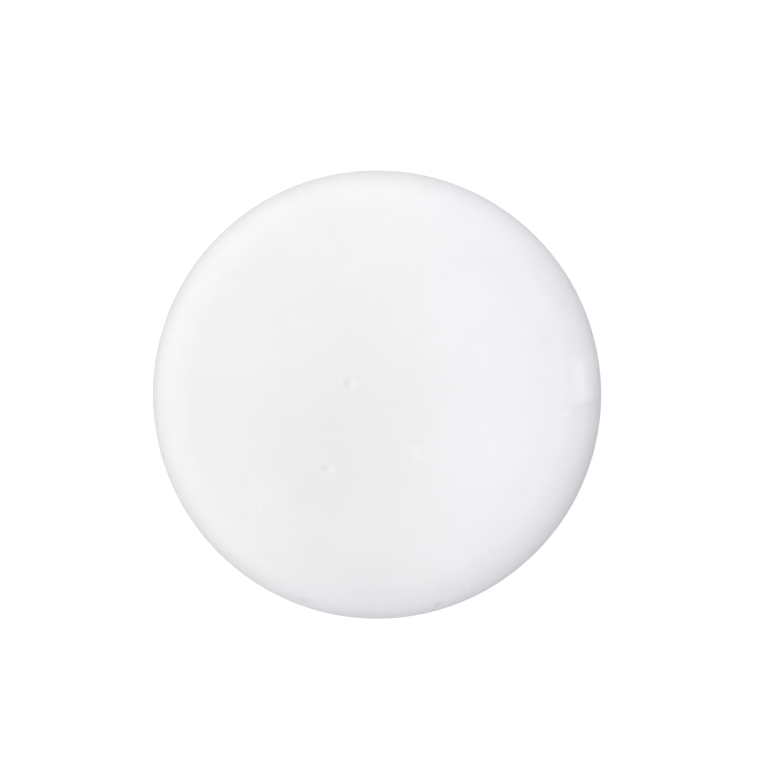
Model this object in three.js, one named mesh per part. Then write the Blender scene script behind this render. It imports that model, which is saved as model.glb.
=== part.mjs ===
// A hard shaving soap puck: one piece of milled soap, stamped between two half dies.
// Millimetres, +Z up. The origin is the middle of the flat base that the puck rests on.
import * as THREE from "three";

// Driving dimensions
const puckDiameter = 75; // across the parting line, the widest place
const puckHeight = 23.5; // from the base to the middle of the face
const crownRadius = 300; // of the sphere that the face is part of
const shoulderRadius = 7.5; // of the round between the face and the side
const baseEdgeRadius = 4.5; // of the round between the side and the base
const dieDraft = 2; // degrees that each half of the side leans in, so that its die lets go

// How finely the round stretches are cut
const stepsAround = 96;
const stepsPerArc = 4; // a path puts twice as many on each arc

const soap = new THREE.MeshStandardMaterial({ color: 0xf4f4f2, roughness: 0.5, metalness: 0 });

// The upper half die's shape: a side leaning in from the parting line, a shoulder round that is
// tangent to that side and to the crowned face, and the centre of the face's own arc.
function upperHalf(partingPoint, draft) {
  const inward = new THREE.Vector2(-Math.cos(draft), -Math.sin(draft));
  const upTheSide = new THREE.Vector2(-Math.sin(draft), Math.cos(draft));
  const crownCentre = new THREE.Vector2(0, puckHeight - crownRadius);

  // The shoulder's centre is shoulderRadius inside the side, and as much inside the face.
  const foot = partingPoint.clone().addScaledVector(inward, shoulderRadius).sub(crownCentre);
  const along = foot.dot(upTheSide);
  const reach = crownRadius - shoulderRadius;
  const climb = -along + Math.sqrt(along ** 2 - foot.lengthSq() + reach ** 2);
  const fromCrownCentre = foot.addScaledVector(upTheSide, climb);
  return {
    crownCentre,
    shoulderCentre: fromCrownCentre.clone().add(crownCentre),
    faceEdgeAngle: fromCrownCentre.angle(),
  };
}

// The centre of the round under the side that leans out to the parting line.
function baseEdgeCentre(partingPoint, draft) {
  const drop = (baseEdgeRadius - partingPoint.y) * Math.sin(draft);
  return new THREE.Vector2(partingPoint.x + (drop - baseEdgeRadius) / Math.cos(draft), baseEdgeRadius);
}

// Half of the puck's section, from the middle of the base, out and up, to the middle of the face.
function puckOutline() {
  const draft = THREE.MathUtils.degToRad(dieDraft);
  const puckRadius = puckDiameter / 2;
  const faceRadius = puckRadius - shoulderRadius;
  const crownRise = crownRadius - Math.sqrt(crownRadius ** 2 - faceRadius ** 2);
  const straightSideTop = puckHeight - crownRise - shoulderRadius;
  // The two half dies meet half way up the straight part of the side.
  const partingPoint = new THREE.Vector2(puckRadius, (baseEdgeRadius + straightSideTop) / 2);

  const upper = upperHalf(partingPoint, draft);
  const lower = baseEdgeCentre(partingPoint, draft);
  const outline = new THREE.Path();
  outline.moveTo(0, 0);
  outline.lineTo(lower.x, 0);
  outline.absarc(lower.x, lower.y, baseEdgeRadius, -Math.PI / 2, -draft, false);
  outline.lineTo(partingPoint.x, partingPoint.y);
  outline.absarc(
    upper.shoulderCentre.x,
    upper.shoulderCentre.y,
    shoulderRadius,
    draft,
    upper.faceEdgeAngle,
    false,
  );
  outline.absarc(
    upper.crownCentre.x,
    upper.crownCentre.y,
    crownRadius,
    upper.faceEdgeAngle,
    Math.PI / 2,
    false,
  );
  return outline;
}

// The outline turned once round its axis. The last point is put exactly on the axis.
function soapPuck() {
  const points = puckOutline().getPoints(stepsPerArc);
  points.at(-1).x = 0;
  const puck = new THREE.Mesh(new THREE.LatheGeometry(points, stepsAround), soap);
  puck.name = "soap_puck";
  puck.rotation.x = Math.PI / 2; // the lathe's axis, +Y, becomes +Z
  return puck;
}

const shavingSoap = new THREE.Group();
shavingSoap.add(soapPuck());

export default shavingSoap;
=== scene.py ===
import math
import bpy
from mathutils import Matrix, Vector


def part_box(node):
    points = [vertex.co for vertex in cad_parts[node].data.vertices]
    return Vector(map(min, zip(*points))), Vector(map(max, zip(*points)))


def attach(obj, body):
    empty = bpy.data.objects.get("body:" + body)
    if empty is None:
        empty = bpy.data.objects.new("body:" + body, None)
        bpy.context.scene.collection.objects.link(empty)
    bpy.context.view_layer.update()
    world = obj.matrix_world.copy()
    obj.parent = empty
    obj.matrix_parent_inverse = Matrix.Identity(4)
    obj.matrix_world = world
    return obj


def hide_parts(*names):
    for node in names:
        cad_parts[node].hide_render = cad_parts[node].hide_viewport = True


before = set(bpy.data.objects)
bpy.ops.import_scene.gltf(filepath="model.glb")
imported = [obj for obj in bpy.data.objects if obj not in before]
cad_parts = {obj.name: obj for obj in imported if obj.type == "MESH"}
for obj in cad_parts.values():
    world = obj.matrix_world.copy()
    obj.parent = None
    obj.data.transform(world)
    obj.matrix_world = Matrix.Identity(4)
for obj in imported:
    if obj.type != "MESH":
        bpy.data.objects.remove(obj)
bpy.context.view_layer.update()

from types import SimpleNamespace

import bpy
from mathutils import Vector

mm = 0.001
puckLow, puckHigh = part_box("soap_puck")
print("frame loaded, the puck is", [round(side / mm, 2) for side in puckHigh - puckLow], "mm")


# Helpers for building node trees, shared by the form, the materials and the sky

class Flow:
    # A number that travels along a link, so that a chain of Math nodes can be written as a formula
    def __init__(self, tree, socket):
        self.tree = tree
        self.socket = socket

    def through(self, operation, *others):
        return calculate(self.tree, operation, self, *others)

    def __add__(self, other):
        return self.through("ADD", other)

    def __sub__(self, other):
        return self.through("SUBTRACT", other)

    def __mul__(self, other):
        return self.through("MULTIPLY", other)

    def __truediv__(self, other):
        return self.through("DIVIDE", other)

    def __pow__(self, other):
        return self.through("POWER", other)

    def __rsub__(self, other):
        return calculate(self.tree, "SUBTRACT", other, self)

    def __rtruediv__(self, other):
        return calculate(self.tree, "DIVIDE", other, self)

    def __neg__(self):
        return self.through("MULTIPLY", -1.0)


def feed(tree, plug, value):
    if isinstance(value, Flow):
        value = value.socket
    if isinstance(value, bpy.types.NodeSocket):
        tree.links.new(value, plug)
    else:
        plug.default_value = value


def addNode(tree, kind, inputs=None, **settings):
    node = tree.nodes.new(kind)
    for name, value in settings.items():
        setattr(node, name, value)
    for name, value in (inputs or {}).items():
        feed(tree, node.inputs[name], value)
    return node


def calculate(tree, operation, *values):
    node = addNode(tree, "ShaderNodeMath", dict(enumerate(values)), operation=operation)
    return Flow(tree, node.outputs[0])


def constant(tree, value):
    node = addNode(tree, "ShaderNodeValue")
    node.outputs[0].default_value = value
    return Flow(tree, node.outputs[0])


def clamped(value, lowest=0.0, highest=1.0):
    return value.through("MAXIMUM", lowest).through("MINIMUM", highest)


def eased(tree, value, low, high):
    # 0 at low and 1 at high, with a soft start and end
    node = addNode(tree, "ShaderNodeMapRange", {"Value": value, "From Min": low, "From Max": high},
                   interpolation_type="SMOOTHSTEP")
    return Flow(tree, node.outputs[0])


def noise(tree, width, detail=2.0, where=None):
    # Width is that of the noise's patches, in metres.
    inputs = {"Scale": 1.0 / width, "Detail": detail}
    if where is not None:
        inputs["Vector"] = where
    return Flow(tree, addNode(tree, "ShaderNodeTexNoise", inputs).outputs["Fac"])


def splitUp(tree, vector):
    node = addNode(tree, "ShaderNodeSeparateXYZ", {0: vector})
    return [Flow(tree, socket) for socket in node.outputs]


def joined(tree, *parts):
    return addNode(tree, "ShaderNodeCombineXYZ", dict(enumerate(parts))).outputs[0]


def dotProduct(tree, first, second):
    node = addNode(tree, "ShaderNodeVectorMath", {0: first, 1: second}, operation="DOT_PRODUCT")
    return Flow(tree, node.outputs["Value"])


def scaled(tree, vector, factor):
    node = addNode(tree, "ShaderNodeVectorMath", {0: vector, "Scale": factor}, operation="SCALE")
    return node.outputs[0]


def mixed(tree, amount, first, second, how="MIX"):
    node = addNode(tree, "ShaderNodeMix", {"Factor": amount}, data_type="RGBA", blend_type=how)
    feed(tree, node.inputs[6], first)  # 6 and 7 are the two colours' own sockets
    feed(tree, node.inputs[7], second)
    return node.outputs[2]


def grey(brightness):
    return (brightness, brightness, brightness, 1)


def newGeometryTree(name, inputs, outputs):
    tree = bpy.data.node_groups.new(name, "GeometryNodeTree")
    for direction, sockets in (("INPUT", inputs), ("OUTPUT", outputs)):
        for label, shape in sockets.items():
            tree.interface.new_socket(label, in_out=direction, socket_type="NodeSocket" + shape)
    return tree, tree.nodes.new("NodeGroupInput"), tree.nodes.new("NodeGroupOutput")


def asVector(heading, height):
    # A direction from its heading round the puck and its height above level, in degrees
    level = math.cos(math.radians(height))
    return Vector((level * math.cos(math.radians(heading)), level * math.sin(math.radians(heading)),
                   math.sin(math.radians(height))))


# The puck's form, each value an input of its node tree. Its diameter and height come from the
# frame.
puck = {
    "Crown Radius": 300 * mm,  # of the sphere that the face is part of
    "Shoulder Radius": 7.5 * mm,
    "Base Edge Radius": 4.5 * mm,
    "Die Draft": math.radians(2),
    "Flash Height": 0.1 * mm,  # how far the trimmed seam between the dies stands proud
    "Flash Width": 0.3 * mm,
    "Flash Least": 0.4,  # share of its height that is left where it was trimmed closest
    "Flash Raggedness": 1.1,
    "Flash Ragged Width": 2.4 * mm,
    "Hollow Depth": 0.1 * mm,  # of the broad hollows where the soap shrank as it dried
    "Hollow Width": 22 * mm,
    "Ripple Depth": 0.055 * mm,
    "Ripple Width": 3.5 * mm,
    "Steps Across": 268,  # squares across the face
    "Rings Above Seam": 7,
    "Rings Below Seam": 8,
    "Rings Round Base": 9,
    "Ring Crowding": 1.8,  # of the side's rings towards its seam, where 1 spaces them evenly
    "Pits Per Square Metre": 60000.0,
    "Pit Spacing": 4.5 * mm,
    "Pit Width": 0.38 * mm,
    "Pit Depth": 0.15 * mm,
    "Pit Variety": 0.4,  # of their widths, either way
    "Pit Shade": 0.6,  # the higher, the paler or darker they may be
    "Pit Rarity": 3.0,  # the higher, the fewer of them are deep or shaded
    "Drag Core": 3.9 * mm,  # up and down from the seam, where the die dragged along the soap most
    "Drag Reach": 13 * mm,  # and where it didn't any more
    "Flat Depth": 0.12 * mm,  # how deep the flat pressed into the shoulder goes
    "Flat Reach": 7 * mm,  # in from the side
    "Flat Fade": 2 * mm,  # over which it and its lip fade out there
    "Flat Side Fade": 1.5 * mm,  # over which it fades out towards the side
    "Flat Blend": 0.05 * mm,  # how softly the flat meets the round soap
    "Flat Lip": 0.32 * mm,  # how far the soap is squeezed out past it
    "Flat Lip Inset": 0.2 * mm,  # from the side to the lip's edge
    "Flat Lip Width": 1.0 * mm,  # over which the lip falls off
    "Flat Lip Reach": 5 * mm,  # in from the side
    "Flat Heading": math.radians(5),  # round the puck, from its right side
    "Flat Tilt": math.radians(16),  # from lying level
    "Flat Half Length": 4.4 * mm,
    "Flat Sharp End": 0.5 * mm,  # over which its lower end steps down
    "Flat Soft End": 2.6 * mm,
    "Flat Wander": 1.5 * mm,  # how far its two ends wander
    "Flat Wander Width": 4 * mm,
    "Flat Unevenness": 0.05 * mm,
    "Flat Uneven Width": 1.4 * mm,
    "Pressed From": 1.9 * mm,  # how far under the flat the soap starts to look pressed
    "Pressed To": 0.4 * mm,
    "Seed": 4,
}

# Marks from handling: across and up from the middle of the face, width and depth in millimetres, and how
# much paler (above 0) or darker the soap is there, some of it painted light and shade. A depth below 0
# stands up.
handlingMarks = [
    (-4.5, 1.7, 0.85, 0.25, 0.0),  # small dents, each with a raised burr beside it, painted paler as a painted highlight on the dent's lit side
    (-3.2, 1.9, 0.6, -0.06, 0.26),
    (-8.1, -12.1, 0.85, 0.25, 0.0),
    (-6.9, -12.1, 0.6, -0.06, 0.28),
    (6.5, -9.0, 1.0, 0.01, 0.45),  # a pale oval
    (6.4, -10.1, 0.9, 0.01, 0.4),
    (27.4, 9.2, 1.5, 0.05, -0.14),  # a soft dark spot
    (31.1, -3.1, 0.42, -0.06, 0.8),  # a bright speck
    (30.4, 0.7, 0.35, 0.04, 0.35),  # a short scratch
    (31.0, 0.7, 0.35, 0.04, 0.35),
    (31.6, 0.65, 0.35, 0.04, 0.35),
    (32.2, 0.6, 0.35, 0.04, 0.35),
    (-16.7, -26.7, 1.3, 0.06, -0.12),  # two more soft dark spots
    (-21.7, -14.2, 1.1, 0.05, -0.08),
    (-11.8, -34.2, 0.85, 0.34, -0.5),  # nicks in the shoulder, painted darker inside as painted shade
    (10.3, -34.8, 0.85, 0.34, -0.5),
    (33.3, 15.5, 0.5, 0.12, 0.4),  # pale pricks in the shoulder
    (36.2, 6.9, 0.5, 0.15, 0.5),
]


def straightStretch(travelled, start, length, heading):
    done = clamped(travelled - start, 0.0, length)
    return done * heading.through("COSINE"), done * heading.through("SINE"), start + length


def roundStretch(travelled, start, radius, fromAngle, toAngle):
    # Clockwise round a centre, between two directions as seen from it
    length = radius * (fromAngle - toAngle)
    done = clamped(travelled - start, 0.0, length)
    angle = fromAngle - done / radius
    across = radius * (angle.through("COSINE") - fromAngle.through("COSINE"))
    up = radius * (angle.through("SINE") - fromAngle.through("SINE"))
    return across, up, start + length


def squareToDisc(x, y):
    # Rings of squares become rings of a disc, with even steps round each.
    quarter = math.pi / 2
    ring = x.through("ABSOLUTE").through("MAXIMUM", y.through("ABSOLUTE"))
    heading = y.through("ARCTAN2", x)
    nearestSide = (heading / quarter).through("ROUND") * quarter
    return ring, nearestSide + (heading - nearestSide).through("TANGENT") * (quarter / 2)


def readPosition(tree):
    return addNode(tree, "GeometryNodeInputPosition").outputs[0]


def moved(tree, geometry, **inputs):
    inputs = {name.title(): value for name, value in inputs.items()}
    return addNode(tree, "GeometryNodeSetPosition", {"Geometry": geometry, **inputs}).outputs[0]


def makeMarkShape():
    # How deep the nearest mark presses a point in, and how it shades the soap there
    tree, given, result = newGeometryTree(
        "markShape",
        {"Marks": "Geometry", "Width": "Float", "Depth": "Float", "Shade": "Float"},
        {"Depth": "Float", "Shade": "Float"})
    position = readPosition(tree)
    marks = given.outputs["Marks"]
    nearest = addNode(tree, "GeometryNodeSampleNearest", {"Geometry": marks}, domain="POINT")

    def fromMark(value, dataType="FLOAT"):
        node = addNode(tree, "GeometryNodeSampleIndex", {
            "Geometry": marks, "Value": value, "Index": nearest.outputs["Index"],
        }, data_type=dataType, domain="POINT")
        return Flow(tree, node.outputs["Value"])

    markPlace = fromMark(position, "FLOAT_VECTOR")
    gap = addNode(tree, "ShaderNodeVectorMath", {0: position, 1: markPlace}, operation="DISTANCE")
    away = (Flow(tree, gap.outputs["Value"]) / fromMark(given.outputs["Width"])) ** 2.0
    fading = (-away).through("EXPONENT")
    profile = (1.0 - away * 0.6) * fading  # below 0 round a dent, where the soap stands up a little
    feed(tree, result.inputs["Depth"], fromMark(given.outputs["Depth"]) * profile)
    feed(tree, result.inputs["Shade"], fromMark(given.outputs["Shade"]) * fading)
    return tree


def measureSection(tree, size):
    # Where the arcs and straight stretches of the section meet
    draft = size("Die Draft")
    crown = size("Crown Radius")
    shoulder = size("Shoulder Radius")
    baseEdge = size("Base Edge Radius")
    height = size("Height")
    radius = size("Diameter") / 2.0 - size("Flash Height")
    cosDraft = draft.through("COSINE")
    sinDraft = draft.through("SINE")
    crownRise = crown - (crown ** 2.0 - (radius - shoulder) ** 2.0).through("SQRT")
    seamHeight = (baseEdge + height - crownRise - shoulder) / 2.0
    # The shoulder's centre lies a shoulder radius inside the side, and as much inside the crown.
    footAcross = radius - shoulder * cosDraft
    footUp = seamHeight - shoulder * sinDraft - height + crown
    along = footUp * cosDraft - footAcross * sinDraft
    reach = crown - shoulder
    upperSide = (along ** 2.0 - footAcross ** 2.0 - footUp ** 2.0 + reach ** 2.0).through("SQRT") - along
    shoulderAcross = footAcross - upperSide * sinDraft
    shoulderUp = seamHeight - shoulder * sinDraft + upperSide * cosDraft
    crownEnd = (shoulderAcross / reach).through("ARCCOSINE")
    lowerSide = (seamHeight - baseEdge + baseEdge * sinDraft) / cosDraft
    straightUp = constant(tree, math.pi / 2)
    topLength = crown * (straightUp - crownEnd) + shoulder * (crownEnd - draft)
    return SimpleNamespace(
        draft=draft, crown=crown, shoulder=shoulder, baseEdge=baseEdge, height=height, radius=radius,
        upperSide=upperSide, lowerSide=lowerSide, shoulderAcross=shoulderAcross, shoulderUp=shoulderUp,
        crownEnd=crownEnd, straightUp=straightUp, topLength=topLength, seamWalk=topLength + upperSide)


def makeSkin(tree, size, section):
    # A cube without its underside: its top becomes the face, and its walls the side.
    corners = size("Steps Across") + 1.0
    ringsUp = size("Rings Above Seam") + size("Rings Below Seam") + size("Rings Round Base")
    cube = addNode(tree, "GeometryNodeMeshCube", {
        "Size": (2.0, 2.0, 2.0),
        "Vertices X": corners, "Vertices Y": corners, "Vertices Z": ringsUp + 1.0,
    })
    x, y, z = splitUp(tree, readPosition(tree))
    underside = z.through("LESS_THAN", -0.9999)
    openCube = addNode(tree, "GeometryNodeDeleteGeometry", {
        "Geometry": cube.outputs["Mesh"], "Selection": underside,
    }, domain="FACE").outputs[0]
    ring, angle = squareToDisc(x, y)

    # How far along the section each point of the cube lies, walked from the middle of the face.
    # The rings of the side crowd towards its seam.
    crowding = size("Ring Crowding")
    ringsDown = (1.0 - z) / 2.0 * ringsUp
    aboveSeam = clamped(ringsDown / size("Rings Above Seam"))
    belowSeam = clamped((ringsDown - size("Rings Above Seam")) / size("Rings Below Seam"))
    roundBase = clamped((ringsDown - ringsUp + size("Rings Round Base")) / size("Rings Round Base"))
    walk = ring * section.topLength + section.upperSide * (1.0 - (1.0 - aboveSeam) ** crowding)
    walk = walk + section.lowerSide * belowSeam ** crowding
    walk = walk + section.baseEdge * (section.straightUp - section.draft) * roundBase
    kept = addNode(tree, "GeometryNodeCaptureAttribute", domain="POINT")
    kept.capture_items.new("FLOAT", "Walk")
    feed(tree, kept.inputs["Geometry"], openCube)
    feed(tree, kept.inputs["Walk"], walk)

    # The walk itself: crown, shoulder, upper side, lower side and the round at the base
    up = section.straightUp
    start = across = constant(tree, 0.0)
    rise = section.height
    for stretch in (
        lambda at: roundStretch(walk, at, section.crown, up, section.crownEnd),
        lambda at: roundStretch(walk, at, section.shoulder, section.crownEnd, section.draft),
        lambda at: straightStretch(walk, at, section.upperSide, section.draft - up),
        lambda at: straightStretch(walk, at, section.lowerSide, -up - section.draft),
        lambda at: roundStretch(walk, at, section.baseEdge, -section.draft, -up),
    ):
        stepAcross, stepUp, start = stretch(start)
        across = across + stepAcross
        rise = rise + stepUp
    spot = joined(tree, across * angle.through("COSINE"), across * angle.through("SINE"), rise)
    return moved(tree, kept.outputs["Geometry"], position=spot), Flow(tree, kept.outputs["Walk"])


def closeBase(tree, skin):
    # The flat base closes the skin: its open edge is drawn in to one point.
    facesBeside = Flow(tree, addNode(tree, "GeometryNodeInputMeshEdgeNeighbors").outputs["Face Count"])
    drawnIn = addNode(tree, "GeometryNodeExtrudeMesh", {
        "Mesh": skin, "Selection": facesBeside.through("LESS_THAN", 1.5), "Offset Scale": 0.0,
    }, mode="EDGES")
    newEdge = drawnIn.outputs["Top"]
    baseMiddle = joined(tree, 0.0, 0.0, 0.0)
    touching = 0.001 * mm
    gathered = moved(tree, drawnIn.outputs["Mesh"], selection=newEdge, position=baseMiddle)
    return addNode(tree, "GeometryNodeMergeByDistance", {
        "Geometry": gathered, "Selection": newEdge, "Distance": touching,
    }).outputs[0]


def pressMarks(tree, markShape, marks, width, depth, shade):
    node = addNode(tree, "GeometryNodeGroup", {
        "Marks": marks, "Width": width, "Depth": depth, "Shade": shade,
    }, node_tree=markShape)
    return Flow(tree, node.outputs["Depth"]), Flow(tree, node.outputs["Shade"])


def dropHandlingMarks(tree, form, marks, markShape):
    # Handling marks drop onto the form from above.
    ray = addNode(tree, "GeometryNodeRaycast", {
        "Target Geometry": form, "Source Position": readPosition(tree), "Ray Direction": (0, 0, -1),
    })
    dropped = moved(tree, marks, position=ray.outputs["Hit Position"])
    looks = [
        addNode(tree, "GeometryNodeInputNamedAttribute", {"Name": name}, data_type="FLOAT").outputs[0]
        for name in ("markWidth", "markDepth", "markShade")
    ]
    return pressMarks(tree, markShape, dropped, *looks)


def scatterPits(tree, size, form, markShape):
    # Pits are scattered all over the form, most of them shallow and faint.
    def chance(lowest, highest, draw):
        node = addNode(tree, "FunctionNodeRandomValue", {
            "Min": lowest, "Max": highest, "Seed": size("Seed") + float(draw),
        }, data_type="FLOAT")
        return Flow(tree, node.outputs["Value"])

    scattered = addNode(tree, "GeometryNodeDistributePointsOnFaces", {
        "Mesh": form, "Distance Min": size("Pit Spacing"), "Density Max": size("Pits Per Square Metre"),
        "Seed": size("Seed"),
    }, distribute_method="POISSON")
    width = size("Pit Width") * chance(1.0 - size("Pit Variety"), size("Pit Variety") + 1.0, 1)
    depth = size("Pit Depth") * chance(0.0, 1.0, 2) ** size("Pit Rarity")
    shade = chance(-size("Pit Shade"), size("Pit Shade"), 3) ** size("Pit Rarity")
    return pressMarks(tree, markShape, scattered.outputs["Points"], width, depth, shade)


def pressFlat(tree, size, section, walk):
    # A flat pressed into the shoulder. What stands beyond its plane is pushed back to it, and the
    # soap past it is squeezed out to the same plane, up to a lip. Its lower end is crisp, its upper
    # end soft.
    lean = size("Flat Tilt")
    heading = size("Flat Heading")
    cosHeading = heading.through("COSINE")
    sinHeading = heading.through("SINE")
    outward = lean.through("SINE")
    upward = lean.through("COSINE")
    facing = joined(tree, cosHeading * outward, sinHeading * outward, upward)
    level = joined(tree, cosHeading, sinHeading, 0.0)
    endwise = joined(tree, -sinHeading, cosHeading, 0.0)
    position = readPosition(tree)
    farthest = section.shoulderAcross * outward + section.shoulderUp * upward + section.shoulder
    uneven = noise(tree, size("Flat Uneven Width")) * size("Flat Unevenness")
    beyond = dotProduct(tree, position, facing) - farthest + size("Flat Depth") + uneven

    # The lip and the flat both fade out inwards, and the flat before the side starts.
    inward = section.radius - size("Flat Lip Inset") - dotProduct(tree, position, level)
    lipEnd = size("Flat Lip Reach")
    flatEnd = size("Flat Reach")
    lipOutline = eased(tree, inward, 0.0, size("Flat Lip Width"))
    lip = size("Flat Lip") * lipOutline * eased(tree, inward, lipEnd, lipEnd - size("Flat Fade"))
    wander = (noise(tree, size("Flat Wander Width")) - 0.5) * size("Flat Wander")
    lengthwise = dotProduct(tree, position, endwise) + wander
    pastSharpEnd = lengthwise + size("Flat Half Length")
    toSoftEnd = size("Flat Half Length") - lengthwise
    nearby = clamped(pastSharpEnd / size("Flat Sharp End"))
    nearby = nearby * eased(tree, toSoftEnd, 0.0, size("Flat Soft End"))
    nearby = nearby * eased(tree, inward, flatEnd, flatEnd - size("Flat Fade"))
    nearby = nearby * eased(tree, section.topLength - walk, 0.0, size("Flat Side Fade"))
    pushed = beyond.through("SMOOTH_MAX", -lip, size("Flat Blend")) * nearby
    pressed = eased(tree, beyond, -size("Pressed From"), -size("Pressed To")) * nearby * lipOutline
    return scaled(tree, facing, -pushed), pressed


def makePuckForm(markShape, soap):
    inputs = {"Marks": "Geometry", "Diameter": "Float", "Height": "Float"}
    for label, value in puck.items():
        inputs[label] = "Int" if isinstance(value, int) else "Float"
    tree, given, result = newGeometryTree("puckForm", inputs, {"Puck": "Geometry"})

    def size(label):
        return Flow(tree, given.outputs[label])

    section = measureSection(tree, size)
    skin, walk = makeSkin(tree, size, section)
    smoothForm = closeBase(tree, skin)
    markDepth, markShade = dropHandlingMarks(tree, smoothForm, given.outputs["Marks"], markShape)
    pitDepth, pitShade = scatterPits(tree, size, smoothForm, markShape)

    # Hollows, ripples, pits and marks go inwards, and the flash and the burrs outwards. The base
    # stays flat.
    offBase = clamped(splitUp(tree, readPosition(tree))[2] / section.baseEdge)
    hollows = size("Hollow Depth") * noise(tree, size("Hollow Width"), 1.0)
    ripples = size("Ripple Depth") * noise(tree, size("Ripple Width"))
    inward = markDepth + (hollows + ripples + pitDepth) * offBase
    pastSeam = walk - section.seamWalk
    ragged = noise(tree, size("Flash Ragged Width"), 3.0) * size("Flash Raggedness")
    ridge = (-((pastSeam / size("Flash Width")) ** 2.0)).through("EXPONENT")
    flash = size("Flash Height") * ridge * clamped(ragged + size("Flash Least"))
    normal = addNode(tree, "GeometryNodeInputNormal").outputs[0]
    worn = moved(tree, smoothForm, offset=scaled(tree, normal, flash - inward))
    pushed, pressed = pressFlat(tree, size, section, walk)
    finished = moved(tree, worn, offset=pushed)

    # The finish reads how far each point is pressed flat, where the die's side dragged, and the
    # shade of the marks.
    beyondDrag = eased(tree, pastSeam.through("ABSOLUTE"), size("Drag Core"), size("Drag Reach"))
    for name, value in (
        ("pressedFlat", pressed),
        ("dieSide", 1.0 - beyondDrag),
        ("spotShade", markShade + pitShade),
    ):
        finished = addNode(tree, "GeometryNodeStoreNamedAttribute", {
            "Geometry": finished, "Name": name, "Value": value,
        }, data_type="FLOAT", domain="POINT").outputs[0]
    finished = addNode(tree, "GeometryNodeSetShadeSmooth", {"Geometry": finished}).outputs[0]
    finished = addNode(tree, "GeometryNodeRealizeInstances", {"Geometry": finished}).outputs[0]
    withSoap = addNode(tree, "GeometryNodeSetMaterial", {"Geometry": finished, "Material": soap})
    feed(tree, result.inputs["Puck"], withSoap.outputs[0])
    return tree


def makeMarkPoints():
    mesh = bpy.data.meshes.new("markPoints")
    wellAbove = puckHigh.z + 10 * mm
    mesh.from_pydata([(mark[0] * mm, mark[1] * mm, wellAbove) for mark in handlingMarks], [], [])
    for name, column, unit in (("markWidth", 2, mm), ("markDepth", 3, mm), ("markShade", 4, 1)):
        layer = mesh.attributes.new(name, "FLOAT", "POINT")
        layer.data.foreach_set("value", [mark[column] * unit for mark in handlingMarks])
    return mesh


def makePuck(soap):
    tree = makePuckForm(makeMarkShape(), soap)
    grown = bpy.data.objects.new("puckGrowing", makeMarkPoints())
    bpy.context.scene.collection.objects.link(grown)
    modifier = grown.modifiers.new("puckForm", "NODES")
    modifier.node_group = tree
    values = {"Diameter": puckHigh.x - puckLow.x, "Height": puckHigh.z - puckLow.z, **puck}
    for item in tree.interface.items_tree:
        if item.in_out == "INPUT" and item.name in values:
            modifier[item.identifier] = values[item.name]
    evaluated = grown.evaluated_get(bpy.context.evaluated_depsgraph_get())
    mesh = bpy.data.meshes.new_from_object(evaluated)
    mesh.name = "soapPuck"
    piece = bpy.data.objects.new("soapPuck", mesh)
    bpy.context.scene.collection.objects.link(piece)
    bpy.data.objects.remove(grown)
    print("puck formed,", len(mesh.vertices), "points,", len(mesh.polygons), "faces")
    return piece


# The soap's finish, with some painted light and shade in its colour
soapLook = {
    "milk": (0.93, 0.93, 0.93, 1),
    "thin": (0.912, 0.912, 0.912, 1),  # where the soap looks a little glassier
    "cloudWidth": 9 * mm,
    "cloudFrom": 0.35,  # where in the noise, of 0 to 1, milky soap starts to turn thin
    "cloudTo": 0.7,
    "mottleWidth": 1.8 * mm,  # of the finer clouds on the soap's right
    "mottleStrength": 1.3,
    "mottleFrom": -4 * mm,  # across, where they start and where they are strongest
    "mottleTo": 8 * mm,
    "bloom": (1.01, 1.0, 1.055, 1),  # a faint cool tint on the soap's right, painted light standing in for the cool light from that side
    "bloomFrom": 7 * mm,
    "bloomTo": 14 * mm,
    "frontBloom": 30 * mm,  # where it also starts along the front
    "frontSteepness": 2.5,  # how much faster it comes on there
    "bloomLean": 0.05,  # how far its edge leans left away from the middle
    "wander": 12 * mm,  # how far the painted cool cast's edge wanders, in broad sweeps
    "wanderWidth": 14 * mm,
    "patchWander": 0.3,  # share of that by which the broad patches wander
    "ragged": 9 * mm,  # and in fine ones
    "raggedWidth": 2.5 * mm,
    "pale": (0.975, 0.97, 0.99, 1),  # crumbs, and the painted highlight on the burr beside a dent
    "crumbSpacing": 2.2 * mm,
    "crumbRarity": 0.88,  # share of the crumbs' places that stay empty
    "crumbCore": 0.12,  # a crumb's solid middle and its edge, as shares of its spacing
    "crumbEdge": 0.26,
    "crumbRagged": 0.2,  # how ragged its outline is, as a share of its spacing
    "crumbRaggedWidth": 0.5 * mm,
    "crumbShow": 0.1,  # how strongly crumbs show away from the bloom
    "crumbShowInBloom": 0.5,  # and how much more they do in it
    "pressed": (1.04, 1.04, 1.04, 1),  # painted light: how much brighter the soap is where it was pressed flat, standing in for the light its level face catches
    "dark": (0.74, 0.735, 0.73, 1),  # the darker marks, and the painted shade inside the nicks
    "satin": 0.5,  # roughness
    "rubbed": 0.38,  # roughness where it was pressed flat
    "patchWidth": 5 * mm,  # of duller and glossier patches
    "patchRoughness": 0.16,
    "dragWidth": 0.5 * mm,  # of the lines that the die dragged up the side
    "dragStretch": 0.06,  # the lines' width over their length
    "dragRoughness": 0.06,
    "dragDepth": 0.03 * mm,
    "fineGrain": 0.3 * mm,
    "coarseGrain": 1.1 * mm,
    "fineShare": 0.35,  # of the grain's depth
    "grainDepth": 0.034 * mm,
    "bloomGrainDepth": 0.02 * mm,  # added where the painted cool cast is
    "glow": 0.2,  # share of light that goes in and comes out again
    "glowDepth": 1.0 * mm,
    "refraction": 1.5,
}


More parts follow.
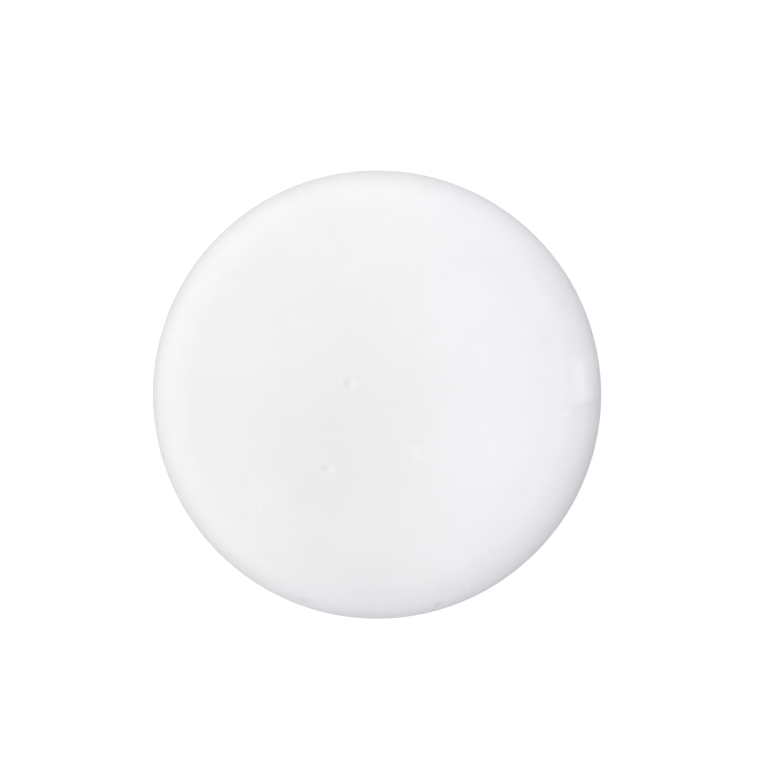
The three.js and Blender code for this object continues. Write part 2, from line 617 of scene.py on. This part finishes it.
# Broad soft patches painted into the soap's colour as light and shade: middle across and up, reach
# across and up, in millimetres, and how bright the soap is there
soapPatches = {
    "damp": (-5, -8, 19.5, 40, 0.95),  # painted shade, the middle of the face darker
    # painted light, the right of the face brighter
    "dry": (18, -9, 13, 24, 1.018),
    # painted shade, darker along the front
    "front": (0, -33, 25, 12, 0.96),
}
# A ring round the right of the face, darker as painted shade where the face starts to turn down into the
# shoulder
paintedShadeRing = {
    "radius": 29 * mm,
    "width": 7 * mm,
    "leftEnd": 4 * mm,
    "rightEnd": 22 * mm,
    "brightness": 0.963,
}


def soapColour(tree, place, pressed, spots):
    look = soapLook
    x, y = splitUp(tree, place)[:2]

    def tinted(colour, tint, amount):
        return mixed(tree, amount, colour, tint, "MULTIPLY")

    # Milky clouds and broad patches
    wander = (noise(tree, look["wanderWidth"], 3.0, place) - 0.5) * look["wander"]
    clouds = noise(tree, look["cloudWidth"], 4.0, place)
    clouds = eased(tree, clouds, look["cloudFrom"], look["cloudTo"])
    onTheRight = eased(tree, x, look["mottleFrom"], look["mottleTo"])
    mottle = noise(tree, look["mottleWidth"], 3.0, place) - 0.5
    mottle = mottle * onTheRight * look["mottleStrength"]
    colour = mixed(tree, clamped(clouds + mottle), look["milk"], look["thin"])
    patchWander = wander * look["patchWander"]
    for across, up, reachAcross, reachUp, brightness in soapPatches.values():
        offAcross = (x + patchWander - across * mm) / (reachAcross * mm)
        offUp = (y + patchWander - up * mm) / (reachUp * mm)
        out = (offAcross * offAcross + offUp * offUp).through("SQRT")
        colour = tinted(colour, grey(brightness), 1.0 - eased(tree, out, 0.0, 1.0))
    ring = paintedShadeRing
    offRing = ((x * x + y * y).through("SQRT") - ring["radius"]).through("ABSOLUTE") / ring["width"]
    ringShadeThere = eased(tree, offRing, 1.0, 0.0) * eased(tree, x, ring["leftEnd"], ring["rightEnd"])
    colour = tinted(colour, grey(ring["brightness"]), ringShadeThere)

    # A faint cool tint at the right and along the front, painted light standing in for the cool light
    # there
    alongFront = (-y - look["frontBloom"]) * look["frontSteepness"] + look["bloomFrom"]
    leaning = y.through("ABSOLUTE") * look["bloomLean"]
    ragged = (noise(tree, look["raggedWidth"], 3.0, place) - 0.5) * look["ragged"] + leaning
    coolCastPlace = x.through("MAXIMUM", alongFront) + wander + ragged
    # How far the painted cool cast reaches; the crumbs and a deeper grain follow the same area
    bloom = eased(tree, coolCastPlace, look["bloomFrom"], look["bloomTo"])
    colour = tinted(colour, look["bloom"], bloom)

    # Crumbs worked into the soap, most of them where the painted cool cast shows them
    crumbs = addNode(tree, "ShaderNodeTexVoronoi", {
        "Vector": place, "Scale": 1 / look["crumbSpacing"],
    }, feature="F1")
    crumbColour = addNode(tree, "ShaderNodeSeparateColor", {0: crumbs.outputs["Color"]})
    chosen = Flow(tree, crumbColour.outputs[0])  # a number of 0 to 1 for each crumb's place
    crumbRagged = noise(tree, look["crumbRaggedWidth"], 2.0, place) * look["crumbRagged"]
    fromCrumb = Flow(tree, crumbs.outputs["Distance"]) + crumbRagged
    crumbShape = 1.0 - eased(tree, fromCrumb, look["crumbCore"], look["crumbEdge"])
    crumbShow = bloom * look["crumbShowInBloom"] + look["crumbShow"]
    crumbMask = crumbShape * eased(tree, chosen, look["crumbRarity"], 1.0) * crumbShow
    colour = mixed(tree, crumbMask, colour, look["pale"])
    colour = mixed(tree, clamped(spots), colour, look["pale"])
    colour = mixed(tree, clamped(-spots), colour, look["dark"])
    # The flat pressed into the shoulder is made brighter here, painted light
    return tinted(colour, look["pressed"], pressed), bloom


def makeSoap():
    look = soapLook
    material = bpy.data.materials.new("milledSoap")
    material.use_nodes = True
    tree = material.node_tree
    tree.nodes.clear()
    place = addNode(tree, "ShaderNodeTexCoord").outputs["Object"]

    def stored(name):
        return Flow(tree, addNode(tree, "ShaderNodeAttribute", attribute_name=name).outputs["Fac"])

    pressed = stored("pressedFlat")
    colour, bloom = soapColour(tree, place, pressed, stored("spotShade"))

    # A satin skin, smoother where it was pressed, with drag lines from the die up its side
    stretched = addNode(tree, "ShaderNodeMapping", {
        "Vector": place, "Scale": (1.0, 1.0, look["dragStretch"]),
    }).outputs[0]
    dragLines = noise(tree, look["dragWidth"], 2.0, stretched) * stored("dieSide")
    patches = noise(tree, look["patchWidth"], 4.0, place) - 0.5
    roughness = patches * look["patchRoughness"] + dragLines * look["dragRoughness"] + look["satin"]
    roughness = roughness - pressed * (look["satin"] - look["rubbed"])
    fineGrain = noise(tree, look["fineGrain"], 2.0, place)
    coarseGrain = noise(tree, look["coarseGrain"], 3.0, place)
    grain = fineGrain * look["fineShare"] + coarseGrain * (1.0 - look["fineShare"])
    grainDepth = bloom * (look["bloomGrainDepth"] / mm) + look["grainDepth"] / mm
    relief = grain * grainDepth + dragLines * (look["dragDepth"] / mm)
    bump = addNode(tree, "ShaderNodeBump", {"Strength": 1.0, "Distance": mm, "Height": relief})
    skin = addNode(tree, "ShaderNodeBsdfPrincipled", {
        "Base Color": colour, "Roughness": roughness, "Normal": bump.outputs[0],
        "Subsurface Weight": look["glow"], "Subsurface Scale": look["glowDepth"],
        "Subsurface Radius": (1.0, 0.95, 0.9), "IOR": look["refraction"],
    })
    output = addNode(tree, "ShaderNodeOutputMaterial")
    tree.links.new(skin.outputs[0], output.inputs["Surface"])
    print("soap mixed")
    return material


# A plain pale floor. What it glows is seen by the camera only, and doesn't light the soap.
floorLook = {
    "radius": 1.5,
    "sides": 96,
    "roughness": 0.9,
    "paper": 0.4,  # how much light it gives back to the soap
    "seenPaper": 0.45,  # and to the camera
    "glow": 0.74,  # round the puck
    "nearGlow": 0.63,  # at nearReach
    "farGlow": 0.36,  # from farReach on
    "contact": 34 * mm,  # under the puck's edge, where the glow starts; inside it the floor is left darker, a painted contact shadow
    "clearOfPuck": 38 * mm,
    "nearReach": 95 * mm,
    "farReach": 220 * mm,
}


def onlyForCamera(tree, seen, otherwise):
    path = addNode(tree, "ShaderNodeLightPath").outputs["Is Camera Ray"]
    return mixed(tree, path, otherwise, seen)


def makeFloor():
    mesh = bpy.data.meshes.new("paleFloor")
    radius = floorLook["radius"]
    sides = range(floorLook["sides"])
    turns = [2 * math.pi * side / len(sides) for side in sides]
    rim = [(radius * math.cos(turn), radius * math.sin(turn), puckLow.z) for turn in turns]
    mesh.from_pydata(rim, [], [list(sides)])
    floor = bpy.data.objects.new("paleFloor", mesh)
    bpy.context.scene.collection.objects.link(floor)
    material = bpy.data.materials.new("palePaper")
    material.use_nodes = True
    tree = material.node_tree
    x, y = splitUp(tree, addNode(tree, "ShaderNodeTexCoord").outputs["Object"])[:2]
    out = (x * x + y * y).through("SQRT")
    # No glow under the puck's edge, a painted contact shadow
    outsidePaintedShadow = eased(tree, out, floorLook["contact"], floorLook["clearOfPuck"])
    near = eased(tree, out, floorLook["clearOfPuck"], floorLook["nearReach"])
    far = eased(tree, out, floorLook["nearReach"], floorLook["farReach"])
    glow = outsidePaintedShadow * floorLook["glow"] - near * (floorLook["glow"] - floorLook["nearGlow"])
    glow = glow - far * (floorLook["nearGlow"] - floorLook["farGlow"])
    paper = tree.nodes["Principled BSDF"]
    paperColour = onlyForCamera(tree, grey(floorLook["seenPaper"]), grey(floorLook["paper"]))
    glowColour = onlyForCamera(tree, joined(tree, glow, glow, glow), grey(0))
    feed(tree, paper.inputs["Base Color"], paperColour)
    feed(tree, paper.inputs["Emission Color"], glowColour)
    feed(tree, paper.inputs["Emission Strength"], 1.0)
    feed(tree, paper.inputs["Roughness"], floorLook["roughness"])
    feed(tree, paper.inputs["Specular IOR Level"], 0.0)
    mesh.materials.append(material)
    print("floor laid")
    return floor


# Soft panels near the puck: heading from its right side and height above the floor in degrees,
# power in watts and colour
panels = {
    "right": (355, 35, 0.057, (0.98, 0.97, 1)),
    "frontRight": (326, 35, 0.0895, (0.97, 0.955, 1)),
    "back": (78, 35, 0.165, (0.985, 0.98, 1)),
}

# A studio tent far round it: soft glows by heading, height, brightness and colour, and level bands
# of light by their lowest and highest height
tentGlows = {
    "backLeft": (135, 0, 0.715, (1, 1, 1)),
    "left": (223, 30, 1.26, (1, 1, 1)),
    "overhead": (120, 60, 0.8, (1, 1, 1)),
}
tentBands = {
    "horizon": (0, 20, 0.87, (1, 1, 0.99)),
    "ring": (60, 78, 0.935, (1, 1, 0.99)),
}
studio = {
    "panelDistance": 0.28,
    "panelWidth": 0.2,
    "glowInner": 5,  # degrees from a glow's middle, where it starts to fade
    "glowOuter": 50,
    "backdrop": 0.7,  # brightness of what the camera sees behind the floor
}


def makePanels():
    middle = (puckLow + puckHigh) / 2
    for name, (heading, height, power, colour) in panels.items():
        light = bpy.data.lights.new(name, "AREA")
        light.shape = "DISK"
        light.size = studio["panelWidth"]
        light.energy = power
        light.color = colour
        lamp = bpy.data.objects.new(name, light)
        bpy.context.scene.collection.objects.link(lamp)
        out = asVector(heading, height)
        lamp.location = middle + out * studio["panelDistance"]
        lamp.rotation_euler = (-out).to_track_quat("-Z", "Y").to_euler()
        lamp.visible_camera = False


def makeTent():
    world = bpy.data.worlds.new("studioTent")
    world.use_nodes = True
    tree = world.node_tree
    direction = addNode(tree, "ShaderNodeTexCoord").outputs["Generated"]
    upwards = splitUp(tree, direction)[2]
    inner = math.cos(math.radians(studio["glowInner"]))
    outer = math.cos(math.radians(studio["glowOuter"]))
    parts = []
    for heading, height, brightness, colour in tentGlows.values():
        near = dotProduct(tree, direction, asVector(heading, height))
        parts.append((eased(tree, near, outer, inner), brightness, colour))
    for lowest, highest, brightness, colour in tentBands.values():
        within = upwards.through("GREATER_THAN", math.sin(math.radians(lowest)))
        within = within * upwards.through("LESS_THAN", math.sin(math.radians(highest)))
        parts.append((within, brightness, colour))
    total = (0, 0, 0)
    for amount, brightness, colour in parts:
        light = scaled(tree, Vector(colour) * brightness, amount)
        total = addNode(tree, "ShaderNodeVectorMath", {0: total, 1: light}, operation="ADD").outputs[0]
    seen = onlyForCamera(tree, grey(studio["backdrop"]), total)
    feed(tree, tree.nodes["Background"].inputs["Color"], seen)
    bpy.context.scene.world = world


cameraSetup = {
    "lens": 120.0,  # mm
    "sensor": 36.0,  # mm
    "puckShare": 0.5748,  # of the view's width that the puck takes up
    "aimAcross": 1.985 * mm,  # of the view's middle, from the puck's
    "aimUp": 0.9 * mm,
    "widestHeight": 9.5 * mm,  # of the puck's widest part
}


def makeCamera():
    data = bpy.data.cameras.new("overhead")
    data.lens = cameraSetup["lens"]
    data.sensor_width = cameraSetup["sensor"]
    data.dof.use_dof = False
    camera = bpy.data.objects.new("overhead", data)
    bpy.context.scene.collection.objects.link(camera)
    viewWidth = (puckHigh.x - puckLow.x) / cameraSetup["puckShare"]
    distance = viewWidth * data.lens / data.sensor_width
    camera.location = (cameraSetup["aimAcross"], cameraSetup["aimUp"],
                       puckLow.z + cameraSetup["widestHeight"] + distance)
    bpy.context.scene.camera = camera
    print("camera set", round(distance, 3), "m above the puck")


soap = makeSoap()
soapPuck = makePuck(soap)
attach(soapPuck, "root")
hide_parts("soap_puck")
floor = makeFloor()
makePanels()
makeTent()
makeCamera()
bpy.context.scene.view_settings.view_transform = "Standard"
print("lights set and everything in place")
